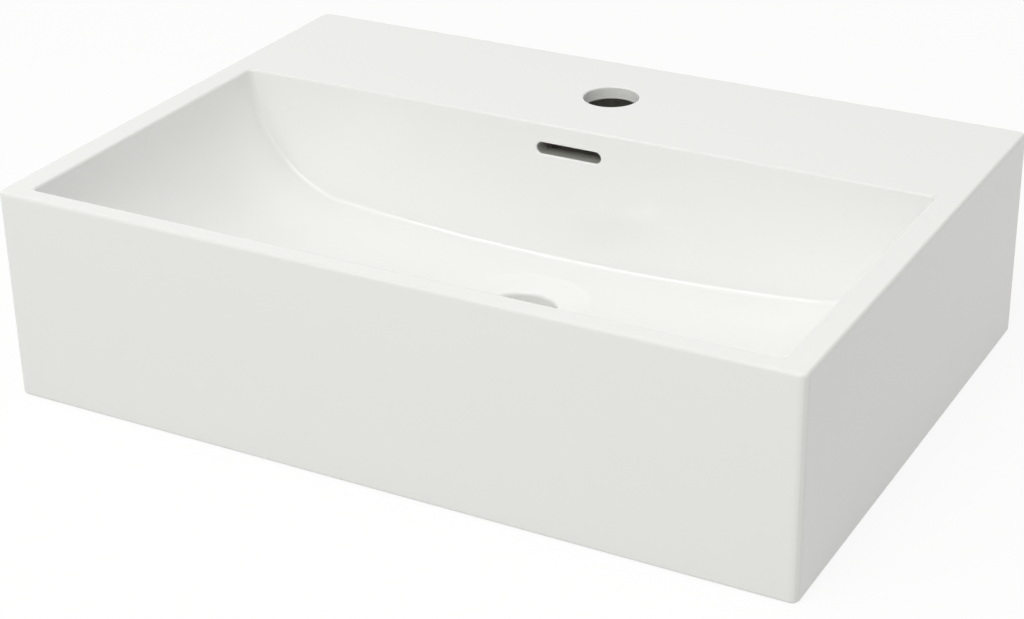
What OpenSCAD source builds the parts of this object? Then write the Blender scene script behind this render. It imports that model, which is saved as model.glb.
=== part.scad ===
// Wall-hung rectangular washbasin in one glazed casting, with the set that fixes it to the wall.
// Millimetres, +Z up, +X to the right, the wall behind the basin is the plane y = 0.
// Origin: the point of the wall plane midway between the two wall fixings.

/* [Overall] */
// width over the two side faces
body_w = 500; // [440:1:600]
// depth from the wall to the front face
body_d = 350; // [335:1:420]
// height from the foot to the rim
body_h = 132; // [127:1:160]
// thickness of the cast walls
wall_t = 11; // [9:0.5:13]
// thickness of the tap deck
deck_t = 8; // [7:0.5:11]

/* [Rim] */
// width of the rim along the front
front_rim = 12; // [11:0.5:18]
// width of the rim along each side
side_rim = 17; // [15:0.5:24]
// depth of the tap deck, from the wall to the bowl
deck_d = 117; // [110:1:125]
// radius of the upright outer corners
corner_r = 5; // [4.5:0.5:9]
// radius of the outer edge of the rim
rim_outer_r = 2.25; // [1.5:0.25:4]
// radius of the inner edge of the rim
rim_inner_r = 1.5; // [1:0.25:3.5]
// radius of the edge at the foot
foot_r = 2; // [0.5:0.25:3]

/* [Bowl] */
// depth of the bowl below the rim, in the middle of the floor
bowl_deep = 90; // [80:1:94]
// fall of the floor from the end of a side sweep to the middle
floor_fall = 7; // [4:0.5:14]
// radius where the floor and the sweeps meet the front and back walls
bowl_fillet = 4; // [4:0.5:12]

/* [Tap hole] */
// diameter of the tap hole
tap_hole_d = 35; // [32:0.5:38]
// distance of the tap hole from the wall
tap_from_wall = 58; // [50:0.5:66]
// radius of the upper edge of the tap hole
tap_lip_r = 1; // [0.5:0.25:2]

/* [Waste hole] */
// diameter of the waste hole
waste_hole_d = 46; // [43:0.5:48]
// distance of the waste hole from the wall
waste_from_wall = 182; // [176:1:196]
// radius of the shallow dish around the waste hole
dish_r = 42; // [38:0.5:46]
// depth of the dish below the bowl floor
dish_deep = 6; // [4:0.5:8]
// radius of the edge where the dish turns down into the waste hole
waste_lip_r = 2.5; // [2:0.25:5]
// radius of the boss that carries the waste
boss_r = 36; // [34:0.5:42]
// height of the boss seat above the foot
boss_lift = 6; // [3:0.5:9]

/* [Overflow] */
// width of the overflow slot
slot_w = 44; // [34:1:50]
// height of the overflow slot
slot_h = 7.5; // [6:0.25:8.5]
// distance of the slot's middle below the rim
slot_drop = 16.5; // [16.5:0.25:22]
// radius of the edge around the slot
slot_lip_r = 1; // [0.5:0.25:2.5]
// clear width of the overflow duct
duct_w = 54; // [52:1:60]
// clear depth of the overflow duct
duct_deep = 16; // [12:0.5:20]
// wall thickness of the overflow duct
duct_t = 6; // [5:0.5:8]

/* [Wall fixing] */
// distance between the two wall fixings
fixing_pitch = 280; // [240:1:300]
// distance of the fixings below the rim
fixing_drop = 54; // [48:1:62]
// diameter of the holes through the back wall
fixing_hole_d = 26; // [24:0.5:30]
// radius of the thick pad around each hole
pad_r = 24; // [22:0.5:28]
// thickness of the back wall at the pads
pad_t = 22; // [18:0.5:26]
// thread diameter of the hanger bolts
bolt_d = 10; // [8:0.5:11]
// length of the wood thread inside the wall plug
screw_len = 52; // [40:1:56]
// diameter of the wall plugs
plug_d = 14; // [13:0.5:16]
// length of the wall plugs
plug_len = 60; // [57:1:70]
// diameter of the collar bushes' flanges
flange_d = 38; // [34:1:42]
// thickness of the collar bushes' flanges
flange_t = 4; // [3:0.5:6]

/* [Hidden] */
$fn = 96;

// heights, counted from the fixing line
z_rim = fixing_drop;
z_foot = fixing_drop - body_h;
z_slot = z_rim - slot_drop;
z_floor = z_rim - bowl_deep;
z_seat = z_foot + boss_lift;

// bowl opening
half_w = body_w / 2;
bowl_half = half_w - side_rim;
bowl_front = -body_d + front_rim;
bowl_back = -deck_d;
bowl_len = bowl_back - bowl_front;

// side sweeps and middle floor: two arcs that meet the long middle arc without a step
sweep_start = 4;
sweep_drop = bowl_deep - sweep_start;
sweep_r = sweep_drop - floor_fall;
sweep_x = bowl_half - sweep_r;
sweep_z = z_rim - sweep_start;
floor_r = (sweep_x * sweep_x + sweep_drop * sweep_drop - sweep_r * sweep_r) / (2 * (sweep_drop - sweep_r));
floor_axis_z = z_floor + floor_r;
// end, below the floor, of the line through both axes and the point where the arcs meet
join_z = z_floor - wall_t;
join_x = sweep_x + (sweep_z - join_z) * sweep_x / (floor_axis_z - sweep_z);

// dish around the waste hole: a shallow spherical cap
dish_ball_r = (dish_r * dish_r + dish_deep * dish_deep) / (2 * dish_deep);
z_dish = z_floor - dish_deep;
dish_pad_rim = 4;
dish_pad_r = dish_r + dish_pad_rim;
dish_pad_drop = 9;
// height of the waste lip: a little above the cap where the lip's curve begins
lip_gap = 0.3;
lip_reach = waste_hole_d / 2 + waste_lip_r;
z_lip = z_dish + dish_ball_r - sqrt(dish_ball_r * dish_ball_r - lip_reach * lip_reach) + lip_gap;

// underside
cavity_r = 9;
under_x = sweep_x;
under_r = sweep_r + wall_t;
under_mid_z = z_floor - wall_t;
bowl_rear = bowl_back + wall_t;
z_pad = under_mid_z - dish_pad_drop + wall_t / 2;

// overflow passage
duct_outer_x = duct_w / 2 + duct_t;
duct_rear = bowl_rear + duct_deep + duct_t;
duct_floor_t = 6;
run_h = 17;
run_top = under_mid_z;
run_low = run_top - run_h;
window_w = 24;
window_h = 12;
// how far the duct's solid and its clear space reach up into the bowl, which cuts them off
duct_bury = 2;
duct_space_bury = 3;
// how far a cut reaches past the faces that it opens
through = 1;

// fixing set
thread_gap = 0.1;
overlap = 0.001;
bush_gap = 0.6;
bolt_gap = 0.5;
stud_r = bolt_d / 2;
sleeve_inset = 3;
bush_sleeve_len = pad_t - sleeve_inset;
washer_t = 2;
washer_r = stud_r * 3;
nut_af = bolt_d * 1.7;
nut_t = bolt_d * 0.8;
stud_out = 4;
flange_y = -pad_t - flange_t;
washer_y = flange_y - washer_t;
nut_y = washer_y - nut_t;
stud_tip_y = nut_y - stud_out;
thread_pitch = 4;
thread_depth = 1.1;
plug_slot = 1.5;
plug_collar_len = 14;
plug_taper_len = 4;
plug_taper = 2;
plug_bore_len = screw_len + 1;
plug_slot_end = screw_len - 4;
bolt_chamfer = 1;

// outline of the block's edge: x from the inside to the outer face, y up
module edge_outline() {
    difference() {
        square([corner_r, body_h]);
        translate([corner_r - rim_outer_r, body_h - rim_outer_r]) difference() {
            square([rim_outer_r + 1, rim_outer_r + 1]);
            circle(rim_outer_r);
        }
        translate([corner_r - foot_r, -1]) difference() {
            square([foot_r + 1, foot_r + 1]);
            translate([0, foot_r + 1]) circle(foot_r);
        }
    }
}

// one straight edge of the block, running along +X from the origin, outer face towards -Y
module straight_edge(length) {
    translate([0, corner_r, 0]) rotate([90, 0, 90]) mirror([1, 0]) linear_extrude(length) edge_outline();
}

// one upright corner of the block, a quarter turn in the -X -Y quadrant
module corner_post() {
    rotate([0, 0, 180]) rotate_extrude(angle = 90) edge_outline();
}

// the outer block with its rounded corners, rim and foot
module outer_block() {
    translate([-half_w, -body_d, z_foot]) {
        translate([corner_r, corner_r, 0]) cube([body_w - 2 * corner_r, body_d - 2 * corner_r, body_h]);
        translate([corner_r, 0, 0]) straight_edge(body_w - 2 * corner_r);
        translate([body_w - corner_r, body_d, 0]) rotate([0, 0, 180]) straight_edge(body_w - 2 * corner_r);
        translate([0, body_d - corner_r, 0]) rotate([0, 0, -90]) straight_edge(body_d - 2 * corner_r);
        translate([body_w, corner_r, 0]) rotate([0, 0, 90]) straight_edge(body_d - 2 * corner_r);
        translate([corner_r, corner_r, 0]) corner_post();
        translate([body_w - corner_r, corner_r, 0]) rotate([0, 0, 90]) corner_post();
        translate([body_w - corner_r, body_d - corner_r, 0]) rotate([0, 0, 180]) corner_post();
        translate([corner_r, body_d - corner_r, 0]) rotate([0, 0, -90]) corner_post();
    }
}

// section of the bowl across its depth: x is the distance from a sweep's axis, y runs front to back
module bowl_section(inner, outer) {
    difference() {
        translate([inner, bowl_front]) square([outer - inner, bowl_len]);
        translate([outer - bowl_fillet, bowl_front]) difference() {
            translate([0, -1]) square([bowl_fillet + 1, bowl_fillet + 1]);
            translate([0, bowl_fillet]) circle(bowl_fillet);
        }
        translate([outer - bowl_fillet, bowl_back - bowl_fillet]) difference() {
            square([bowl_fillet + 1, bowl_fillet + 1]);
            circle(bowl_fillet);
        }
    }
}

// the section turned about an axis that runs front to back
module bowl_turn(inner, outer, steps) {
    rotate([-90, 0, 0]) rotate([0, 0, 180]) rotate_extrude($fn = steps) bowl_section(inner, outer);
}

// a prism that runs front to back through the bowl, given by its outline as seen from the front
module bowl_prism(points) {
    translate([0, bowl_back + 1, 0]) rotate([90, 0, 0]) linear_extrude(bowl_len + 2) polygon(points);
}

// corner of the bowl's opening with its rounded rim edge, in plan
module rim_spandrel() {
    difference() {
        square([rim_inner_r, rim_inner_r + 1]);
        translate([rim_inner_r, 0]) circle(rim_inner_r);
    }
}

module rim_edge(length) {
    rotate([90, 0, 90]) mirror([1, 0]) linear_extrude(length) rim_spandrel();
}

module rim_corner() {
    rotate([0, 0, 180]) rotate_extrude(angle = 90) translate([bowl_fillet, 0]) rim_spandrel();
}

// everything that is cut away above the bowl's surface
module bowl_space() {
    rim_x = bowl_half - bowl_fillet;
    rim_y0 = bowl_front + bowl_fillet;
    rim_y1 = bowl_back - bowl_fillet;
    intersection() {
        translate([0, 0, floor_axis_z]) bowl_turn(floor_r - sweep_r - floor_fall - 2, floor_r, 1440);
        bowl_prism([
            [-join_x, join_z], [join_x, join_z], [sweep_x, sweep_z],
            [sweep_x, z_rim + 1], [-sweep_x, z_rim + 1], [-sweep_x, sweep_z]
        ]);
    }
    for (side = [0, 1]) mirror([side, 0, 0]) intersection() {
        translate([sweep_x, 0, sweep_z]) bowl_turn(0, sweep_r, 192);
        bowl_prism([[sweep_x, sweep_z], [join_x, join_z], [half_w, join_z], [half_w, sweep_z]]);
    }
    translate([0, 0, sweep_z]) linear_extrude(sweep_start + 2)
        rounded_plan(-bowl_half, bowl_half, bowl_front, bowl_back, bowl_fillet);
    translate([0, 0, z_rim - rim_inner_r]) {
        translate([-rim_x, bowl_front, 0]) rim_edge(2 * rim_x);
        translate([rim_x, bowl_back, 0]) rotate([0, 0, 180]) rim_edge(2 * rim_x);
        translate([-bowl_half, rim_y1, 0]) rotate([0, 0, -90]) rim_edge(rim_y1 - rim_y0);
        translate([bowl_half, rim_y0, 0]) rotate([0, 0, 90]) rim_edge(rim_y1 - rim_y0);
        translate([-rim_x, rim_y0, 0]) rim_corner();
        translate([rim_x, rim_y0, 0]) rotate([0, 0, 90]) rim_corner();
        translate([rim_x, rim_y1, 0]) rotate([0, 0, 180]) rim_corner();
        translate([-rim_x, rim_y1, 0]) rotate([0, 0, -90]) rim_corner();
    }
}

// rounded rectangle in plan, between two x and two y positions
module rounded_plan(x0, x1, y0, y1, r) {
    translate([x0 + r, y0]) square([x1 - x0 - 2 * r, y1 - y0]);
    translate([x0, y0 + r]) square([x1 - x0, y1 - y0 - 2 * r]);
    for (x = [x0 + r, x1 - r]) for (y = [y0 + r, y1 - r]) translate([x, y]) circle(r);
}

// outside of the bowl as seen from the front: the sweeps and the floor with the wall's thickness added
module bowl_outline() {
    intersection() {
        union() {
            for (side = [0, 1]) mirror([side, 0]) translate([sweep_x, sweep_z]) circle(under_r);
            polygon([
                [-under_x, sweep_z - under_r], [0, under_mid_z], [under_x, sweep_z - under_r],
                [under_x, z_rim], [-under_x, z_rim]
            ]);
            translate([-half_w, sweep_z]) square([body_w, sweep_start]);
        }
        translate([-half_w, z_foot]) square([body_w, body_h]);
    }
}

module bowl_mass() {
    translate([0, bowl_rear, 0]) rotate([90, 0, 0]) linear_extrude(bowl_rear + body_d) bowl_outline();
}

// boss under the waste hole, with the wider pad that carries the dish
module waste_boss() {
    translate([0, -waste_from_wall, 0]) {
        translate([0, 0, z_seat]) cylinder(h = z_floor - z_seat, r = boss_r);
        translate([0, 0, z_pad]) cylinder(h = dish_pad_drop, r = dish_pad_r);
    }
}

module at_fixings() {
    for (side = [-1, 1]) translate([side * fixing_pitch / 2, 0, 0]) rotate([90, 0, 0]) children();
}

// the hollow under the bowl and the deck, open at the foot
module underside_space() {
    difference() {
        translate([0, 0, z_foot - through]) linear_extrude(body_h - deck_t + through)
            rounded_plan(-half_w + wall_t, half_w - wall_t, bowl_front, -wall_t, cavity_r);
        bowl_mass();
        waste_boss();
        at_fixings() cylinder(h = pad_t, r = pad_r);
    }
}

// the dish, the waste hole with its rounded lip, and the way in from the overflow duct
module waste_space() {
    hole_r = waste_hole_d / 2;
    translate([0, -waste_from_wall, 0]) {
        intersection() {
            translate([0, 0, z_dish + dish_ball_r]) sphere(dish_ball_r);
            translate([0, 0, z_dish - through])
                cylinder(h = dish_deep + 2 * through, r = dish_pad_r - through);
        }
        translate([0, 0, z_seat - through]) cylinder(h = z_floor - z_seat, r = hole_r);
        translate([0, 0, z_lip - waste_lip_r]) rotate_extrude() difference() {
            square([hole_r + waste_lip_r, waste_lip_r]);
            translate([hole_r + waste_lip_r, 0]) circle(waste_lip_r);
        }
        translate([-window_w / 2, 0, run_low]) cube([window_w, dish_pad_r + through, window_h]);
    }
}

// tap hole through the deck with a rounded upper edge
module tap_space() {
    hole_r = tap_hole_d / 2;
    translate([0, -tap_from_wall, 0]) {
        translate([0, 0, z_rim - deck_t - through]) cylinder(h = deck_t + 2 * through, r = hole_r);
        translate([0, 0, z_rim - tap_lip_r]) rotate_extrude() difference() {
            square([hole_r + tap_lip_r, tap_lip_r + through]);
            translate([hole_r + tap_lip_r, 0]) circle(tap_lip_r);
        }
    }
}

// overflow slot through the bowl's back wall, with a rounded edge on the bowl's side
module slot_space() {
    end_r = slot_h / 2;
    end_x = slot_w / 2 - end_r;
    translate([0, bowl_back, z_slot]) rotate([-90, 0, 0]) {
        translate([0, 0, -1]) linear_extrude(wall_t + 2) {
            translate([-end_x, -end_r]) square([2 * end_x, slot_h]);
            for (x = [-end_x, end_x]) translate([x, 0]) circle(end_r);
        }
        for (side = [0, 1]) mirror([side, 0, 0]) {
            translate([end_x, 0, 0]) rotate([0, 0, -90]) slot_lip_end(end_r);
            translate([0, end_r, 0]) slot_lip_bar(end_x);
            translate([0, -end_r, 0]) mirror([0, 1, 0]) slot_lip_bar(end_x);
        }
    }
}

// outline cut away at the slot's edge, with the slot's side at x = 0
module slot_lip_corner() {
    difference() {
        translate([-0.5, -slot_lip_r]) square([slot_lip_r + 0.5, slot_lip_r + 1]);
        translate([slot_lip_r, -slot_lip_r]) circle(slot_lip_r);
    }
}

module slot_lip_end(end_r) {
    rotate_extrude(angle = 180) translate([end_r, 0]) mirror([0, 1]) slot_lip_corner();
}

module slot_lip_bar(length) {
    rotate([90, 0, 90]) linear_extrude(length) mirror([0, 1]) slot_lip_corner();
}

module ceramic_body() {
    color("white") difference() {
        outer_block();
        bowl_space();
        underside_space();
        waste_space();
        tap_space();
        slot_space();
        at_fixings() translate([0, 0, -through]) cylinder(h = pad_t + 2 * through, r = fixing_hole_d / 2);
    }
}

// U-shaped channel from the slot down the back of the bowl and forward to the waste boss
module overflow_duct() {
    color("gainsboro") difference() {
        union() {
            translate([-duct_outer_x, bowl_rear, run_low - duct_floor_t])
                cube([2 * duct_outer_x, duct_rear - bowl_rear, z_rim - deck_t - run_low + duct_floor_t]);
            translate([-duct_outer_x, -waste_from_wall, run_low - duct_floor_t])
                cube([2 * duct_outer_x, waste_from_wall + bowl_rear, run_h + duct_floor_t + duct_bury]);
        }
        translate([-duct_w / 2, bowl_rear - through, run_low]) cube([duct_w, duct_deep + through, body_h]);
        translate([-duct_w / 2, -waste_from_wall, run_low])
            cube([duct_w, waste_from_wall + bowl_rear, run_h + duct_space_bury]);
        bowl_mass();
        translate([0, -waste_from_wall, z_foot]) cylinder(h = body_h, r = boss_r);
        waste_boss();
    }
}

// hanger bolt: wood thread in the plug, machine thread in the basin
module hanger_bolt() {
    turns = floor(screw_len / thread_pitch) - 1;
    tip = screw_len - turns * thread_pitch;
    color("silver") rotate([90, 0, 0]) {
        translate([0, 0, -overlap]) cylinder(h = -stud_tip_y - bolt_chamfer + overlap, r = stud_r);
        translate([0, 0, -stud_tip_y - bolt_chamfer])
            cylinder(h = bolt_chamfer, r1 = stud_r, r2 = stud_r - bolt_chamfer);
        rotate([180, 0, 0]) rotate_extrude() polygon(concat(
            [[0, 0]],
            [for (i = [0 : turns - 1]) each [
                [stud_r - thread_depth, i * thread_pitch],
                [stud_r - thread_gap, (i + 0.5) * thread_pitch]
            ]],
            [[stud_r - thread_depth, turns * thread_pitch], [0.5, turns * thread_pitch + tip]],
            [[0, turns * thread_pitch + tip]]
        ));
    }
}

// nylon plug that the hanger bolt screws into: slotted along its middle, closed at its nose
module wall_plug() {
    plug_r = plug_d / 2;
    color("lightgray") rotate([-90, 0, 0]) difference() {
        union() {
            cylinder(h = plug_len - plug_taper_len, r = plug_r);
            translate([0, 0, plug_len - plug_taper_len])
                cylinder(h = plug_taper_len, r1 = plug_r, r2 = plug_r - plug_taper);
        }
        translate([0, 0, -1]) cylinder(h = plug_bore_len + 1, r = stud_r);
        for (a = [45, 135]) rotate([0, 0, a]) translate([-plug_slot / 2, -plug_r - 1, plug_collar_len])
            cube([plug_slot, plug_d + 2, plug_slot_end - plug_collar_len]);
    }
}

// nylon bush: a sleeve in the fixing hole and a flange on the pad inside the basin
module collar_bush() {
    sleeve_r = fixing_hole_d / 2 - bush_gap;
    color("whitesmoke") rotate([90, 0, 0]) difference() {
        union() {
            translate([0, 0, pad_t - bush_sleeve_len]) cylinder(h = bush_sleeve_len + 1, r = sleeve_r);
            translate([0, 0, pad_t]) cylinder(h = flange_t, r = flange_d / 2);
        }
        cylinder(h = pad_t + flange_t + 1, r = stud_r + bolt_gap);
    }
}

module washer() {
    color("silver") rotate([90, 0, 0]) translate([0, 0, -flange_y]) difference() {
        cylinder(h = washer_t, r = washer_r);
        translate([0, 0, -1]) cylinder(h = washer_t + 2, r = stud_r + bolt_gap);
    }
}

// hexagon nut with its corners chamfered on both faces
module nut() {
    corner = nut_af / 2 / cos(30);
    color("silver") rotate([90, 0, 0]) translate([0, 0, -washer_y]) difference() {
        intersection() {
            cylinder(h = nut_t, r = corner, $fn = 6);
            rotate_extrude() polygon([
                [0, 0], [nut_af / 2, 0], [corner + 0.5, corner / 2 - nut_af / 4 + 0.25],
                [corner + 0.5, nut_t - corner / 2 + nut_af / 4 - 0.25], [nut_af / 2, nut_t], [0, nut_t]
            ]);
        }
        translate([0, 0, -1]) cylinder(h = nut_t + 2, r = stud_r + thread_gap / 2);
    }
}

module at_left() {
    translate([-fixing_pitch / 2, 0, 0]) children();
}

module at_right() {
    translate([fixing_pitch / 2, 0, 0]) children();
}

ceramic_body();
overflow_duct();
at_left() hanger_bolt();  // left_hanger_bolt
at_left() wall_plug();  // left_wall_plug
at_left() collar_bush();  // left_collar_bush
at_left() washer();  // left_washer
at_left() nut();  // left_nut
at_right() hanger_bolt();  // right_hanger_bolt
at_right() wall_plug();  // right_wall_plug
at_right() collar_bush();  // right_collar_bush
at_right() washer();  // right_washer
at_right() nut();  // right_nut
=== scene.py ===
# %% [markdown]
# # A wall-hung washbasin in white vitreous china
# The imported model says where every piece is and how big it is. This script gives the pieces the
# finish of the real thing, puts finer shapes in place of the small fixing parts, and sets up a
# plain studio and the camera. Everything is in metres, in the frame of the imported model: the wall
# is the plane y = 0, the basin reaches towards -Y, and +Z is up.

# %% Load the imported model
import math

import bmesh
import bpy
from mathutils import Euler, Matrix, Vector


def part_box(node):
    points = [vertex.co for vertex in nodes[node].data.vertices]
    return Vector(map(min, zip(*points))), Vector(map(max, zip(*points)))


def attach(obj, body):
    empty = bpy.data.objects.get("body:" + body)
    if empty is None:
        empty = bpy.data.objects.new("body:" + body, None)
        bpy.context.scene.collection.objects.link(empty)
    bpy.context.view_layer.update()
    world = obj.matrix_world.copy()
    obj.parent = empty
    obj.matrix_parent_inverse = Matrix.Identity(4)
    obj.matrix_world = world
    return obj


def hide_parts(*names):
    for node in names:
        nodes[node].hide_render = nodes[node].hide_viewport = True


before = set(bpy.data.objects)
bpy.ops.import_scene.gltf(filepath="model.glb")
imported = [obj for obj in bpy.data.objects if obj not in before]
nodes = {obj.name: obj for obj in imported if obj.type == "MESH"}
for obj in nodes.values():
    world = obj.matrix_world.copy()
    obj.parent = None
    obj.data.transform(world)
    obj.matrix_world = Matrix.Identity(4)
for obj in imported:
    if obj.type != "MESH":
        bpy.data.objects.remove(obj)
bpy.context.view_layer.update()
MM = 0.001

# %% [markdown]
# ## The camera
# The photograph looks down on the basin from its front right. Its upright edges stay upright, as
# they do with a lens that is shifted downwards. A shifted lens would push the basin out of the
# picture in other views, so the camera is tilted instead. It stands on the same line of sight, and
# its long lens keeps the uprights nearly upright.

# %% Camera
CAMERA_AT = Vector((0.5983, -1.2678, 0.5733))
CAMERA_AZIMUTH = math.radians(29.06)
CAMERA_ELEVATION = math.radians(26.33)
CAMERA_ROLL = math.radians(-1.01)
FOCAL_LENGTH = 80.56

camera_data = bpy.data.cameras.new("camera")
camera_data.lens = FOCAL_LENGTH
camera = bpy.data.objects.new("camera", camera_data)
aim = Euler((math.pi / 2 - CAMERA_ELEVATION, 0, CAMERA_AZIMUTH)).to_matrix()
aim = aim @ Matrix.Rotation(CAMERA_ROLL, 3, "Z")
camera.matrix_world = Matrix.Translation(CAMERA_AT) @ aim.to_4x4()
bpy.context.scene.collection.objects.link(camera)
bpy.context.scene.camera = camera

# %% [markdown]
# ## Shader sums in plain Python
# A material is a net of nodes, and most of its nodes are small sums. Wrapping a socket in a class
# that knows +, -, * and / lets such a sum be written as one line of Python, and each operator adds
# its Math node. Numbers that don't meet a socket are worked out by Python itself.

# %% Sockets that can be added and multiplied
class Wire:
    """An output socket of a node in a finish's tree."""

    def __init__(self, finish, socket):
        self.finish = finish
        self.socket = socket

    def sum(self, operation, first, second=0.0):
        return self.finish.node("ShaderNodeMath", {"operation": operation}, {0: first, 1: second})

    def __add__(self, other):
        return self.sum("ADD", self, other)

    def __radd__(self, other):
        return self.sum("ADD", other, self)

    def __sub__(self, other):
        return self.sum("SUBTRACT", self, other)

    def __rsub__(self, other):
        return self.sum("SUBTRACT", other, self)

    def __mul__(self, other):
        return self.sum("MULTIPLY", self, other)

    def __rmul__(self, other):
        return self.sum("MULTIPLY", other, self)

    def __truediv__(self, other):
        return self.sum("DIVIDE", self, other)

    def __rtruediv__(self, other):
        return self.sum("DIVIDE", other, self)

    def __abs__(self):
        return self.sum("ABSOLUTE", self)

    def power(self, exponent):
        return self.sum("POWER", self, exponent)

    def at_most(self, other):
        return self.sum("MINIMUM", self, other)

    def at_least(self, other):
        return self.sum("MAXIMUM", self, other)

    def rise(self, start, end):
        """0 below start, 1 above end, and a smooth step between them. It falls if end is lower."""
        settings = {"interpolation_type": "SMOOTHSTEP"}
        if start < end:
            return self.finish.node("ShaderNodeMapRange", settings, {0: self, 1: start, 2: end})
        return 1 - self.finish.node("ShaderNodeMapRange", settings, {0: self, 1: end, 2: start})


# %% [markdown]
# ## A finish
# Every finish here starts from the Principled shader. What is the same all over a surface is set
# on the shader's own socket. What changes over the surface is a wire, and it feeds only the colour,
# the roughness or the normal.

# %% Finish builder
class Finish:
    """A material with a Principled shader and a short way to add nodes."""

    def __init__(self, name, **constants):
        self.material = bpy.data.materials.new(name)
        self.material.use_nodes = True
        self.tree = self.material.node_tree
        self.shader = self.tree.nodes["Principled BSDF"]
        for socket, value in constants.items():
            self.shader.inputs[socket.replace("_", " ")].default_value = value

    def node(self, kind, settings, inputs, output=0):
        """Adds a node: its settings first, then the values or wires of its sockets."""
        made = self.tree.nodes.new(kind)
        for setting, value in settings.items():
            setattr(made, setting, value)
        for socket, value in inputs.items():
            if isinstance(value, Wire):
                self.tree.links.new(value.socket, made.inputs[socket])
            else:
                made.inputs[socket].default_value = value
        return Wire(self, made.outputs[output])

    def place(self):
        """Object coordinates, in metres."""
        return self.node("ShaderNodeTexCoord", {}, {}, "Object")

    def axes(self, vector):
        """The x, y and z of a vector."""
        return [self.node("ShaderNodeSeparateXYZ", {}, {0: vector}, axis) for axis in range(3)]

    def noise(self, vector, scale, detail=2.0, roughness=0.5):
        inputs = {"Vector": vector, "Scale": scale, "Detail": detail, "Roughness": roughness}
        return self.node("ShaderNodeTexNoise", {}, inputs)

    def stretched(self, vector, x, y, z):
        """The same coordinates with each axis multiplied, which draws a pattern out or together."""
        return self.node("ShaderNodeVectorMath", {"operation": "MULTIPLY"}, {0: vector, 1: (x, y, z)})

    def blend(self, share, below, above):
        """One colour over another: 'above' shows where the share is 1."""
        settings = {"data_type": "RGBA"}
        return self.node("ShaderNodeMix", settings, {0: share, 6: below, 7: above}, 2)

    def bump(self, height):
        """The normal of a surface with this height, in metres."""
        return self.node("ShaderNodeBump", {}, {"Height": height, "Distance": 1.0, "Strength": 1.0})

    def wire(self, **links):
        for socket, value in links.items():
            self.tree.links.new(value.socket, self.shader.inputs[socket.replace("_", " ")])


def grey(red, green, blue):
    return (red, green, blue, 1.0)


# %% [markdown]
# ## White glaze
# The basin is dipped and sprayed with a white glaze that melts to glass at 1200 degrees. It is
# smooth but never quite flat: the surface swims a little over a few centimetres, and has a fine
# orange peel. Here and there a speck of the body shows through. It runs off the crisp edges of the
# rim while it is liquid, so it is thinner and less glossy there. Those rounded edges are also a
# shade darker, which is partly the thin glaze and partly painted shade that tones down their lit
# brightness. It is wiped off the back and the foot, where the basin meets the wall and stood in the
# kiln, so the bare body shows there, matt and creamy. In the hollow below, where the spray hardly
# reaches, it is thin, dull and uneven. All these zones follow from the shape, so formulas on Object
# coordinates find them: the hollow is what lies inside the outer walls and below the middle of the
# bowl's wall.

# %% Places on the basin that bound the zones of glaze
BODY_LOW, BODY_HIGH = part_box("ceramic_body")
HALF_WIDTH = BODY_HIGH.x
FRONT_Y = BODY_LOW.y
FOOT_Z = BODY_LOW.z
RIM_Z = BODY_HIGH.z
WALL = 11 * MM
DECK_UNDER_Z = RIM_Z - 8 * MM
BOWL_HALF_WIDTH = HALF_WIDTH - 17 * MM
BOWL_FRONT_Y = FRONT_Y + 12 * MM
BOWL_BACK_Y = -117 * MM
BOWL_DEEP = 90 * MM
OUTER_ROUND = 2.25 * MM
INNER_ROUND = 1.5 * MM
SWEEP_X = 154 * MM
SWEEP_Z = RIM_Z - 4 * MM
SWEEP_R = 79 * MM
FLOOR_FALL = 7 * MM
WASTE_Y = -182 * MM
WASTE_R = 23 * MM
DISH_R = 42 * MM
DISH_UNDER_Z = -48 * MM
SLOT_Z = RIM_Z - 16.5 * MM
SLOT_HALF_LENGTH = 22 * MM
SLOT_HALF_HEIGHT = 3.75 * MM
SLOT_END_Y = BOWL_BACK_Y + WALL
print("bowl floor at", round((RIM_Z - BOWL_DEEP) / MM, 1), "mm, foot at", round(FOOT_Z / MM, 1), "mm")


# %% Where the hollow begins
def glazed_side(x, y, z):
    """1 on the bowl's side of the casting's middle surface, 0 on the side of the hollow."""
    before_middle = 0.6 * WALL
    past_middle = 0.4 * WALL
    beyond = (abs(x) - SWEEP_X).at_least(0.0)
    depth = SWEEP_Z - z
    from_axis = (beyond * beyond + depth * depth).power(0.5)
    inward = 1 - (abs(x) / SWEEP_X).at_most(1.0).power(2.0)
    bowl = (from_axis - inward * FLOOR_FALL).rise(SWEEP_R + 0.55 * WALL, SWEEP_R + 0.45 * WALL)
    waste_y = y - WASTE_Y
    from_waste = (x * x + waste_y * waste_y).power(0.5)
    dish = from_waste.rise(DISH_R + 3.5 * MM, DISH_R + 3 * MM) * z.rise(DISH_UNDER_Z, DISH_UNDER_Z + MM)
    hole = from_waste.rise(WASTE_R + 1.5 * MM, WASTE_R + 0.5 * MM)
    in_front_of_wall = y.rise(BOWL_BACK_Y + before_middle, BOWL_BACK_Y + past_middle)
    return (bowl.at_least(dish) * in_front_of_wall).at_least(hole)


def inside_walls(x, y, z):
    """1 between the outer walls and under the deck, 0 on the faces that show from outside."""
    near = 0.6 * MM
    sides = abs(x).rise(HALF_WIDTH - WALL + 2 * near, HALF_WIDTH - WALL + near)
    ends = y.rise(FRONT_Y + WALL, FRONT_Y + WALL + near) * y.rise(-WALL + 2 * near, -WALL + near)
    return sides * ends * z.rise(DECK_UNDER_Z + 2 * near, DECK_UNDER_Z + near)


# %% Where the glaze runs thin, and shade is painted on the rounded edges
INNER_SHARE = 0.55
FULL_FROM = 0.6


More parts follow.
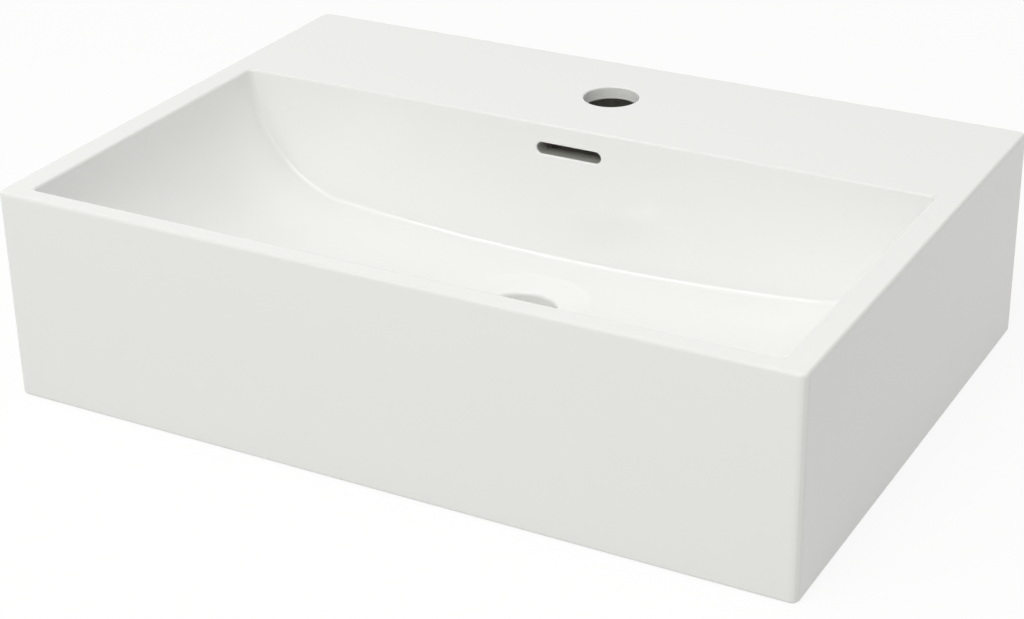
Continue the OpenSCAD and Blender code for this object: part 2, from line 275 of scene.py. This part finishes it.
def crisp_edges(x, y, z):
    """1 on the rim's rounded outer edges, less on its inner ones, 0 on the flats beside them."""
    side = abs(x) - (HALF_WIDTH - OUTER_ROUND)
    end = (FRONT_Y + OUTER_ROUND) - y
    top = z - (RIM_Z - OUTER_ROUND)
    outer = side.at_least(end).at_most(top).at_least(side.at_most(end))
    into_bowl = ((BOWL_HALF_WIDTH + INNER_ROUND) - abs(x)).at_most((BOWL_BACK_Y + INNER_ROUND) - y)
    into_bowl = into_bowl.at_most(y - (BOWL_FRONT_Y - INNER_ROUND))
    inner = into_bowl.at_most(z - (RIM_Z - INNER_ROUND))
    outer = (outer / OUTER_ROUND).rise(0.0, FULL_FROM)
    return outer.at_least((inner / INNER_ROUND).rise(0.0, FULL_FROM) * INNER_SHARE)


# %% Glaze of the basin
def white_glaze():
    finish = Finish("white_glaze", IOR=1.52)
    vector = finish.place()
    x, y, z = finish.axes(vector)
    swim = finish.noise(vector, 11.0, 1.0)
    peel = finish.noise(vector, 260.0, 2.0)
    clouds = finish.noise(vector, 5.0, 3.0)
    grain = finish.noise(vector, 1400.0, 3.0, 0.7)
    ragged = (finish.noise(vector, 90.0, 2.0) - 0.5) * (2.4 * MM)
    hollow = inside_walls(x, y, z) * (1 - glazed_side(x, y, z))
    bare_back = (y + ragged).rise(-2.2 * MM, -1.2 * MM)
    bare = bare_back.at_least(z.rise(FOOT_Z + 0.3 * MM, FOOT_Z + 0.1 * MM))
    # The inside of the overflow slot, where shade is painted into the colour.
    slot_height = abs(z - SLOT_Z).rise(SLOT_HALF_HEIGHT + 0.85 * MM, SLOT_HALF_HEIGHT + 0.45 * MM)
    slot_length = abs(x).rise(SLOT_HALF_LENGTH + 2 * MM, SLOT_HALF_LENGTH + MM)
    slot_inside_painted_shade = y.rise(BOWL_BACK_Y + 0.6 * MM, BOWL_BACK_Y + 1.6 * MM)
    slot_inside_painted_shade = slot_inside_painted_shade * y.rise(SLOT_END_Y + 0.5 * MM, SLOT_END_Y - 0.5 * MM) * slot_height * slot_length
    cells = finish.node("ShaderNodeTexVoronoi", {}, {"Vector": vector, "Scale": 34.0}, "Distance")
    specks = cells.rise(0.014, 0.006) * finish.noise(vector, 21.0).rise(0.56, 0.6)
    fresh = finish.blend(clouds, grey(0.894, 0.896, 0.894), grey(0.906, 0.908, 0.908))
    crisp = crisp_edges(x, y, z)
    # Painted shade, partly real thin glaze: the rounded rim edges get a darker grey, which tones down their
    # lit brightness.
    fresh = finish.blend(crisp * (0.75 + swim * 0.4), fresh, grey(0.812, 0.81, 0.804))
    speckled = finish.blend(specks * 0.5, fresh, grey(0.42, 0.36, 0.28))
    thin = finish.blend(finish.noise(vector, 28.0, 4.0), grey(0.64, 0.63, 0.59), grey(0.76, 0.755, 0.725))
    body = finish.blend(grain, grey(0.60, 0.565, 0.50), grey(0.72, 0.69, 0.63))
    colour = finish.blend(hollow, speckled, thin)
    # Painted shade: the inside of the overflow slot is coloured dark grey, much darker than its glaze.
    colour = finish.blend(slot_inside_painted_shade, colour, grey(0.40, 0.40, 0.375))
    colour = finish.blend(bare, colour, body)
    rough = 0.05 + clouds * 0.03 + crisp * 0.2 + hollow * 0.22 + slot_inside_painted_shade * 0.3
    rough = rough * (1 - bare) + bare * 0.85
    height = swim * (0.05 * MM) + peel * (0.0022 * MM) + (hollow * clouds * 0.3 + bare * grain * 0.06) * MM
    finish.wire(Base_Color=colour, Roughness=rough, Normal=finish.bump(height))
    return finish.material


GLAZE = white_glaze()
nodes["ceramic_body"].data.materials.clear()
nodes["ceramic_body"].data.materials.append(GLAZE)
print("glaze:", len(GLAZE.node_tree.nodes), "nodes")

# %% [markdown]
# ## The overflow duct
# The duct is cast on its own, stuck to the raw basin with slip and fired with it. Its edges are
# wiped round with a sponge before the firing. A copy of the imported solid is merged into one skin,
# and the outer edges of its box are bevelled. The edges along its joint with the basin stay crisp,
# because slip fills that joint.


# %% Helpers for pieces
def add_piece(name, bm, material, node):
    """Makes an object of a finished bmesh, ties it to the basin's body and hides the node it replaces."""
    bmesh.ops.recalc_face_normals(bm, faces=bm.faces)
    mesh = bpy.data.meshes.new(name)
    bm.to_mesh(mesh)
    bm.free()
    mesh.materials.append(material)
    mesh.shade_smooth()
    piece = bpy.data.objects.new(name, mesh)
    bpy.context.scene.collection.objects.link(piece)
    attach(piece, "root")
    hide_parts(node)
    return piece


def keep_crisp(piece, degrees):
    """Marks the edges that stay crisp under smooth shading."""
    bm = bmesh.new()
    bm.from_mesh(piece.data)
    for edge in bm.edges:
        edge.smooth = edge.calc_face_angle(0.0) < math.radians(degrees)
    bm.to_mesh(piece.data)
    bm.free()


# %% Glaze of the duct
def duct_glaze():
    finish = Finish("duct_glaze", IOR=1.5)
    vector = finish.place()
    clouds = finish.noise(vector, 24.0, 4.0)
    grain = finish.noise(vector, 900.0, 3.0, 0.6)
    runs = finish.noise(finish.stretched(vector, 70.0, 70.0, 9.0), 1.0, 3.0)
    thin = finish.blend(clouds, grey(0.60, 0.585, 0.54), grey(0.745, 0.735, 0.70))
    colour = finish.blend(runs.rise(0.52, 0.66) * 0.6, thin, grey(0.79, 0.785, 0.76))
    rough = 0.30 + clouds * 0.25
    height = (clouds * 0.35 + runs * 0.15 + grain * 0.03) * MM
    finish.wire(Base_Color=colour, Roughness=rough, Normal=finish.bump(height))
    return finish.material


# %% Duct with sponged edges
SAME_PLACE = 0.01 * MM
SPONGED_ROUND = 2.5 * MM


def overflow_duct():
    low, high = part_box("overflow_duct")
    near = 0.05 * MM

    def outer(edge):
        middle = (edge.verts[0].co + edge.verts[1].co) / 2
        on_side = abs(abs(middle.x) - high.x) < near
        return on_side + (abs(middle.y - high.y) < near) + (abs(middle.z - low.z) < near) >= 2

    bm = bmesh.new()
    bm.from_mesh(nodes["overflow_duct"].data)
    bmesh.ops.remove_doubles(bm, verts=bm.verts, dist=SAME_PLACE)
    bmesh.ops.dissolve_limit(bm, angle_limit=math.radians(1.0), verts=bm.verts, edges=bm.edges)
    sponged = [edge for edge in bm.edges if outer(edge)]
    bmesh.ops.bevel(bm, geom=sponged, offset=SPONGED_ROUND, affect="EDGES", segments=4, profile=0.5,
                    material=-1)
    bmesh.ops.remove_doubles(bm, verts=bm.verts, dist=SAME_PLACE)
    piece = add_piece("overflow_duct_cast", bm, duct_glaze(), "overflow_duct")
    keep_crisp(piece, 35)
    print("duct:", len(sponged), "edges rounded,", len(piece.data.polygons), "faces")


overflow_duct()

# %% [markdown]
# ## Zinc and nylon
# The steel parts are plated with bright zinc: a cold grey with a faint straw and blue cast, fine
# scratches and duller patches where the plating is thicker. The plugs are grey nylon and the
# bushes white nylon, both moulded, with the fine texture of the mould.


# %% Zinc plating
def zinc_steel():
    finish = Finish("zinc_steel", Metallic=1.0)
    vector = finish.place()
    patches = finish.noise(vector, 120.0, 4.0)
    tint = finish.noise(vector, 60.0, 2.0)
    scratches = finish.noise(finish.stretched(vector, 300.0, 2600.0, 300.0), 1.0, 2.0)
    colour = finish.blend(tint.rise(0.35, 0.65), grey(0.60, 0.64, 0.68), grey(0.69, 0.67, 0.61))
    colour = finish.blend(patches.rise(0.5, 0.75) * 0.5, colour, grey(0.48, 0.49, 0.50))
    rough = 0.22 + patches * 0.22 + scratches * 0.06
    height = (scratches * 0.012 + patches * 0.02) * MM
    finish.wire(Base_Color=colour, Roughness=rough, Normal=finish.bump(height))
    return finish.material


# %% Moulded nylon
def nylon(name, dark, light, rough):
    finish = Finish(name, IOR=1.53, Subsurface_Weight=0.08, Subsurface_Scale=2 * MM)
    vector = finish.place()
    flow = finish.noise(vector, 45.0, 3.0)
    texture = finish.noise(vector, 2400.0, 2.0, 0.6)
    colour = finish.blend(flow, dark, light)
    height = (flow * 0.03 + texture * 0.012) * MM
    finish.wire(Base_Color=colour, Roughness=rough + texture * 0.12, Normal=finish.bump(height))
    return finish.material


ZINC = zinc_steel()
GREY_NYLON = nylon("grey_nylon", grey(0.44, 0.45, 0.46), grey(0.54, 0.55, 0.56), 0.42)
WHITE_NYLON = nylon("white_nylon", grey(0.78, 0.78, 0.74), grey(0.86, 0.86, 0.83), 0.34)
print("fixing finishes:", ZINC.name, GREY_NYLON.name, WHITE_NYLON.name)

# %% [markdown]
# ## Turned shapes
# Washers, bushes and plugs are round about the bolt. Each is drawn as half a section: corners in
# order, each with its distance from the axis, its place along the axis and the radius that rounds
# it. Bevelling the section's points rounds the corners, and spinning it about the Y axis makes
# the piece. A spin that stops part of the way leaves two open ends, which are filled.

# %% Turned pieces
FIXING_X = 140 * MM
TURN = 2 * math.pi
NEAR_AXIS = 0.01


def turned(bm, corners, steps=72, start=0.0, angle=TURN):
    """Spins a closed section about the Y axis. Corners are (radius, y, rounding) in millimetres."""
    old = set(bm.verts)
    verts = [bm.verts.new((r * MM, y * MM, 0)) for r, y, rounding in corners]
    for pair in zip(verts, verts[1:] + verts[:1]):
        bm.edges.new(pair)
    for vert, (r, y, rounding) in zip(verts, corners):
        if rounding:
            bmesh.ops.bevel(bm, geom=[vert], offset=rounding * MM, affect="VERTICES", segments=4,
                            profile=0.5, material=-1)
    made = [vert for vert in bm.verts if vert not in old]
    bmesh.ops.rotate(bm, verts=made, cent=(0, 0, 0), matrix=Matrix.Rotation(start, 3, "Y"))
    edges = list(dict.fromkeys(edge for vert in made for edge in vert.link_edges))
    whole = angle == TURN
    bmesh.ops.spin(bm, geom=made + edges, cent=(0, 0, 0), axis=(0, 1, 0), angle=angle, steps=steps,
                   use_merge=whole)
    if not whole:
        bmesh.ops.holes_fill(bm, edges=[edge for edge in bm.edges if edge.is_boundary], sides=0)


def fixing_piece(name, side, bm, material, crisp=32):
    """Moves a piece made about the Y axis to its fixing, left (-1) or right (1), in place of its node."""
    prefix = "left_" if side < 0 else "right_"
    bmesh.ops.remove_doubles(bm, verts=bm.verts, dist=0.004 * MM)
    bmesh.ops.translate(bm, verts=bm.verts, vec=(side * FIXING_X, 0, 0))
    piece = add_piece(prefix + name + "_fine", bm, material, prefix + name)
    keep_crisp(piece, crisp)
    return piece


# %% [markdown]
# ## Washer, bush and plug
# The washer is stamped: one face has a rounded edge, the other is flat with a slight burr. The
# bush centres the bolt in the rough hole of the casting, and its flange spreads the load. The
# plug grips the wall with saw-toothed rings on four legs, which the screw drives apart. It is cut
# into legs by spinning four part turns, between a whole collar and a whole nose.

# %% Washers, bushes and plugs
HOLE_R = 5.5
BUSH_FACE = -26
WASHER_FACE = -28
NUT_FACE = -36
BOLT_END = -40


def washer(side):
    bm = bmesh.new()
    turned(bm, [
        (HOLE_R, WASHER_FACE, 0.2), (14.6, WASHER_FACE, 0.9), (15, BUSH_FACE, 0.15),
        (HOLE_R, BUSH_FACE, 0.2)
    ])
    return fixing_piece("washer", side, bm, ZINC)


def collar_bush(side):
    bm = bmesh.new()
    turned(bm, [
        (HOLE_R, BUSH_FACE, 0.4), (16.2, BUSH_FACE, 0.3), (16.8, -25.5, 0.3), (19, -25.2, 1.1),
        (19, -22, 0.4), (12.4, -22, 0), (12.1, -3, 1.2), (9.6, -3, 0.5), (9.6, -15, 0.6),
        (8, -15, 0.3), (8, -3, 0.4), (HOLE_R, -3, 0.4)
    ], 96)
    for rib in range(6):
        half = math.radians(6)
        turned(bm, [(7.9, -14.8, 0), (9.7, -14.8, 0), (9.7, -3.6, 0.2), (7.9, -3.6, 0.2)],
               4, rib * TURN / 6 - half, 2 * half)
    return fixing_piece("collar_bush", side, bm, WHITE_NYLON)


def wall_plug(side):
    bm = bmesh.new()
    turned(bm, [(5, 0, 0.3), (7, 0, 0.5), (7, 12, 0.3), (6.6, 14, 0.2), (5, 14, 0)])
    teeth = []
    for tooth in range(8):
        y = 14 + tooth * 4.2
        teeth += [(6.1, y, 0.1), (7, y + 3.6, 0.15)]
    half_slit = 0.75
    leg_r = 6
    slit = 2 * math.asin(half_slit / leg_r)
    for leg in range(4):
        turned(bm, [(5, 14, 0)] + teeth + [(6.1, 48, 0), (5, 48, 0)], 14,
               TURN / 8 + leg * TURN / 4 + slit / 2, TURN / 4 - slit)
    turned(bm, [
        (5, 48, 0), (6.6, 48, 0.2), (7, 50, 0.3), (7, 56, 0.8), (5, 60, 0.6), (NEAR_AXIS, 60, 0),
        (NEAR_AXIS, 53, 0), (5, 53, 0)
    ])
    return fixing_piece("wall_plug", side, bm, GREY_NYLON)


for side in (-1, 1):
    made = [washer(side), collar_bush(side), wall_plug(side)]
    print([(piece.name, len(piece.data.polygons)) for piece in made])

# %% [markdown]
# ## Hanger bolt and nut
# A hanger bolt has a wood thread for the plug on one end, a machine thread for the nut on the
# other, and a plain neck between them. A thread is a zigzag line spun while it moves along the
# axis by one pitch in each turn, so each tooth's end meets the next tooth's start. Two planes cut
# it to length, and turning its radius down near the ends makes the point and the chamfer. The nut
# is made as from a bar: its ends and chamfers are turned, and six planes then cut its flats, which
# gives the arcs where the chamfers meet them.

# %% Threads
CREST_FROM = 0.42
CREST_TO = 0.58


def threaded(bm, crest, depth, pitch, start, end, limit, steps=40):
    """A threaded rod about the Y axis, from start to end, nowhere thicker than limit(y), in millimetres."""
    rod = bmesh.new()
    turns = math.ceil((end - start) / pitch) + 2
    line = []
    for tooth in range(turns):
        y = start + (tooth - 1.5) * pitch
        line += [(crest - depth, y), (crest, y + CREST_FROM * pitch), (crest, y + CREST_TO * pitch)]
    line.append((crest - depth, start + (turns - 1.5) * pitch))
    verts = [rod.verts.new((r * MM, y * MM, 0)) for r, y in line]
    edges = [rod.edges.new(pair) for pair in zip(verts, verts[1:])]
    bmesh.ops.spin(rod, geom=verts + edges, cent=(0, 0, 0), axis=(0, -1, 0),
                   dvec=(0, pitch * MM / steps, 0), angle=TURN, steps=steps)
    bmesh.ops.remove_doubles(rod, verts=rod.verts, dist=SAME_PLACE)
    for y, outward in ((start, -1), (end, 1)):
        bmesh.ops.bisect_plane(rod, geom=rod.verts[:] + rod.edges[:] + rod.faces[:], dist=0.001 * MM,
                               plane_co=(0, y * MM, 0), plane_no=(0, outward, 0), clear_outer=True)
    for vert in rod.verts:
        radius = math.hypot(vert.co.x, vert.co.z)
        shrink = min(1.0, limit(vert.co.y / MM) * MM / radius)
        vert.co = Vector((vert.co.x * shrink, vert.co.y, vert.co.z * shrink))
    bmesh.ops.holes_fill(rod, edges=[edge for edge in rod.edges if edge.is_boundary], sides=0)
    part = bpy.data.meshes.new("thread")
    rod.to_mesh(part)
    rod.free()
    bm.from_mesh(part)
    bpy.data.meshes.remove(part)


# %% Hanger bolts
def hanger_bolt(side):
    machine_r = 5
    wood_r = 4.9
    neck_r = 4.5
    neck = (-6, 2)
    into_threads = 0.2
    point = 52
    bm = bmesh.new()
    threaded(bm, machine_r, 0.92, 1.5, BOLT_END, neck[0], lambda y: min(machine_r, 4 + (y - BOLT_END)))
    turned(bm, [
        (NEAR_AXIS, neck[0] - into_threads, 0), (neck_r, neck[0] - into_threads, 0.2),
        (neck_r, neck[1] + into_threads, 0.2), (NEAR_AXIS, neck[1] + into_threads, 0)
    ])
    threaded(bm, wood_r, 1.1, 4, neck[1], point, lambda y: min(wood_r, 0.5 + max(0, point - 0.1 - y) * 0.8))
    return fixing_piece("hanger_bolt", side, bm, ZINC)


# %% Hexagon nuts
def nut(side):
    bore = 5.05
    flat = 8.5
    corner = flat / math.cos(TURN / 12)
    bar = corner + 0.01
    face = flat - 0.25
    chamfer = (bar - face) * math.tan(math.radians(30))
    sink = 0.6
    bm = bmesh.new()
    turned(bm, [
        (bore, WASHER_FACE - sink, 0), (bore + sink, WASHER_FACE, 0), (face, WASHER_FACE, 0),
        (bar, WASHER_FACE - chamfer, 0), (bar, NUT_FACE + chamfer, 0), (face, NUT_FACE, 0),
        (bore + sink, NUT_FACE, 0), (bore, NUT_FACE + sink, 0)
    ], 144)
    for cut in range(6):
        outward = Matrix.Rotation((cut + 0.5) * TURN / 6, 3, "Y") @ Vector((1, 0, 0))
        bmesh.ops.bisect_plane(bm, geom=bm.verts[:] + bm.edges[:] + bm.faces[:], dist=0.001 * MM,
                               plane_co=outward * flat * MM, plane_no=outward, clear_outer=True)
        bmesh.ops.holes_fill(bm, edges=[edge for edge in bm.edges if edge.is_boundary], sides=0)
    return fixing_piece("nut", side, bm, ZINC, 25)


for side in (-1, 1):
    made = [hanger_bolt(side), nut(side)]
    print([(piece.name, len(piece.data.polygons)) for piece in made])

# %% [markdown]
# ## Floor, lamps and background
# The photograph is a product shot on pure white. The floor and the world look white to the camera
# and in reflections, through the Light Path node, without sending more light to the basin. The
# floor mixes that white with its lit colour, so it keeps the basin's soft shadow. The light is that
# of a photo tent: an even glow from all round, a large lamp high in front, and weaker ones above and
# on the left, which leave the right side darker. One small lamp in front on the left draws the thin
# bright line where the floor of the bowl turns up into its back wall.

# %% Floor
FLOOR_SIZE = 6.0
FLOOR_GAP = 0.2 * MM
WHITE_SHARE = 0.85


def seen(tree):
    """1 for rays from the camera and for what gloss and glass show, 0 for the rays that light things."""
    path = tree.nodes.new("ShaderNodeLightPath")
    total = path.outputs["Is Camera Ray"]
    for name in ("Is Glossy Ray", "Is Transmission Ray"):
        add = tree.nodes.new("ShaderNodeMath")
        add.use_clamp = True
        tree.links.new(total, add.inputs[0])
        tree.links.new(path.outputs[name], add.inputs[1])
        total = add.outputs[0]
    return total


def floor_material():
    finish = Finish("floor", Roughness=0.9, Specular_IOR_Level=0.1)
    shown = Wire(finish, seen(finish.tree))
    finish.wire(Base_Color=finish.blend(shown, grey(0.6, 0.6, 0.6), grey(1.0, 1.0, 1.0)))
    white = finish.node("ShaderNodeEmission", {}, {"Color": grey(1, 1, 1), "Strength": 1.0})
    lit = Wire(finish, finish.shader.outputs[0])
    mixed = finish.node("ShaderNodeMixShader", {}, {0: shown * WHITE_SHARE, 1: lit, 2: white})
    finish.tree.links.new(mixed.socket, finish.tree.nodes["Material Output"].inputs["Surface"])
    return finish.material


bm = bmesh.new()
bmesh.ops.create_grid(bm, x_segments=1, y_segments=1, size=FLOOR_SIZE)
bmesh.ops.translate(bm, verts=bm.verts, vec=(0, 0, FOOT_Z - FLOOR_GAP))
floor_mesh = bpy.data.meshes.new("floor")
bm.to_mesh(floor_mesh)
bm.free()
floor = bpy.data.objects.new("floor", floor_mesh)
floor.data.materials.append(floor_material())
bpy.context.scene.collection.objects.link(floor)
print("floor at", round((FOOT_Z - FLOOR_GAP) / MM, 1), "mm")


# %% Lamps
MIDDLE = Vector((0, -0.2, 0))
WARM = (1.0, 1.0, 0.94)


def softbox(name, at, size, watts, colour=(1.0, 1.0, 1.0)):
    data = bpy.data.lights.new(name, "AREA")
    data.shape = "SQUARE"
    data.size = size
    data.energy = watts
    data.color = colour
    lamp = bpy.data.objects.new(name, data)
    lamp.location = at
    lamp.rotation_euler = (MIDDLE - Vector(at)).to_track_quat("-Z", "Y").to_euler()
    bpy.context.scene.collection.objects.link(lamp)
    print(name, round((MIDDLE - Vector(at)).length, 2), "m away,", watts, "W")


softbox("high_front", (0.2, -2.1, 1.9), 1.6, 25, WARM)
softbox("top", (0, -0.2, 2.4), 2.4, 10)
softbox("left", (-2.2, -0.6, 1.6), 1.6, 6)
softbox("small_front_left", (-1.1, -1.8, 1.75), 0.35, 4.2)

# %% World
WORLD_LIGHT = 0.49

world = bpy.data.worlds.new("studio")
world.use_nodes = True
bpy.context.scene.world = world
tree = world.node_tree
even = tree.nodes["Background"]
even.inputs["Color"].default_value = grey(1, 1, 0.97)
even.inputs["Strength"].default_value = WORLD_LIGHT
white = tree.nodes.new("ShaderNodeBackground")
white.inputs["Color"].default_value = grey(1, 1, 1)
white.inputs["Strength"].default_value = 1.0
mix = tree.nodes.new("ShaderNodeMixShader")
tree.links.new(seen(tree), mix.inputs[0])
tree.links.new(even.outputs[0], mix.inputs[1])
tree.links.new(white.outputs[0], mix.inputs[2])
tree.links.new(mix.outputs[0], tree.nodes["World Output"].inputs["Surface"])
bpy.context.scene.view_settings.view_transform = "Standard"
print("even light from all round:", WORLD_LIGHT)
